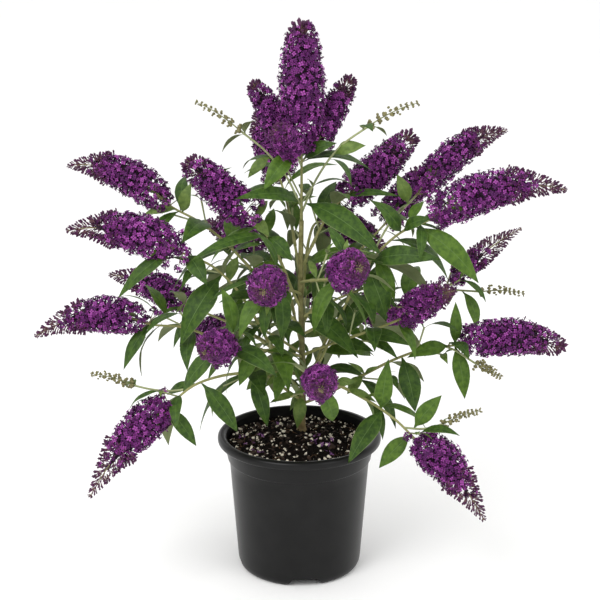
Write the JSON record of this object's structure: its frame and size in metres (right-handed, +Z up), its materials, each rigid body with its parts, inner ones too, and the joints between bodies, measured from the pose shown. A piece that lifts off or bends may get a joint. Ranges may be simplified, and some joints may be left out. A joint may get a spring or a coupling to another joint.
{
  "type": "potted butterfly bush",
  "caption": "Young flowering shrub in a round nursery pot: one leader with opposite side shoots, lance-shaped leaves and long tapering panicles of bloom.",
  "frame": {"origin": "centre of the pot's flat underside, on the surface that it stands on", "axes": "+Z up along the pot's axis, -Y towards the viewer of the picture, +X to the viewer's right"},
  "size_m": [0.666, 0.55, 0.722],
  "materials": {
    "pot_plastic": "satin black",
    "potting_soil": "moist and crumbly",
    "green_bark": "matt, young bark",
    "foliage": "matt leaves and blooms"
  },
  "bodies": {
    "root": {"bough_front_left": "green_bark", "bough_front_low": "green_bark", "bough_front_low_left": "green_bark", "bough_front_right": "green_bark", "bough_left_drooping": "green_bark", "bough_left_high": "green_bark", "bough_left_low": "green_bark", "bough_left_mid": "green_bark", "bough_left_rear": "green_bark", "bough_left_upper": "green_bark", "bough_rear_high": "green_bark", "bough_rear_left": "green_bark", "bough_rear_left_low": "green_bark", "bough_rear_low": "green_bark", "bough_rear_right": "green_bark", "bough_rear_right_high": "green_bark", "bough_rear_right_low": "green_bark", "bough_right_drooping": "green_bark", "bough_right_high": "green_bark", "bough_right_low": "green_bark", "bough_right_mid": "green_bark", "bough_right_rear": "green_bark", "bough_right_upper": "green_bark", "pot": "pot_plastic", "soil": "potting_soil", "spray_crown": "foliage", "spray_front_left": "foliage", "spray_front_low": "foliage", "spray_front_low_left": "foliage", "spray_front_right": "foliage", "spray_inner_front": "foliage", "spray_inner_left": "foliage", "spray_inner_rear": "foliage", "spray_inner_right": "foliage", "spray_left_drooping": "foliage", "spray_left_high": "foliage", "spray_left_low": "foliage", "spray_left_mid": "foliage", "spray_left_rear": "foliage", "spray_left_upper": "foliage", "spray_rear_high": "foliage", "spray_rear_left": "foliage", "spray_rear_left_low": "foliage", "spray_rear_low": "foliage", "spray_rear_right": "foliage", "spray_rear_right_high": "foliage", "spray_rear_right_low": "foliage", "spray_right_drooping": "foliage", "spray_right_high": "foliage", "spray_right_low": "foliage", "spray_right_mid": "foliage", "spray_right_rear": "foliage", "spray_right_upper": "foliage", "trunk": "green_bark"}
  },
  "joints": []
}
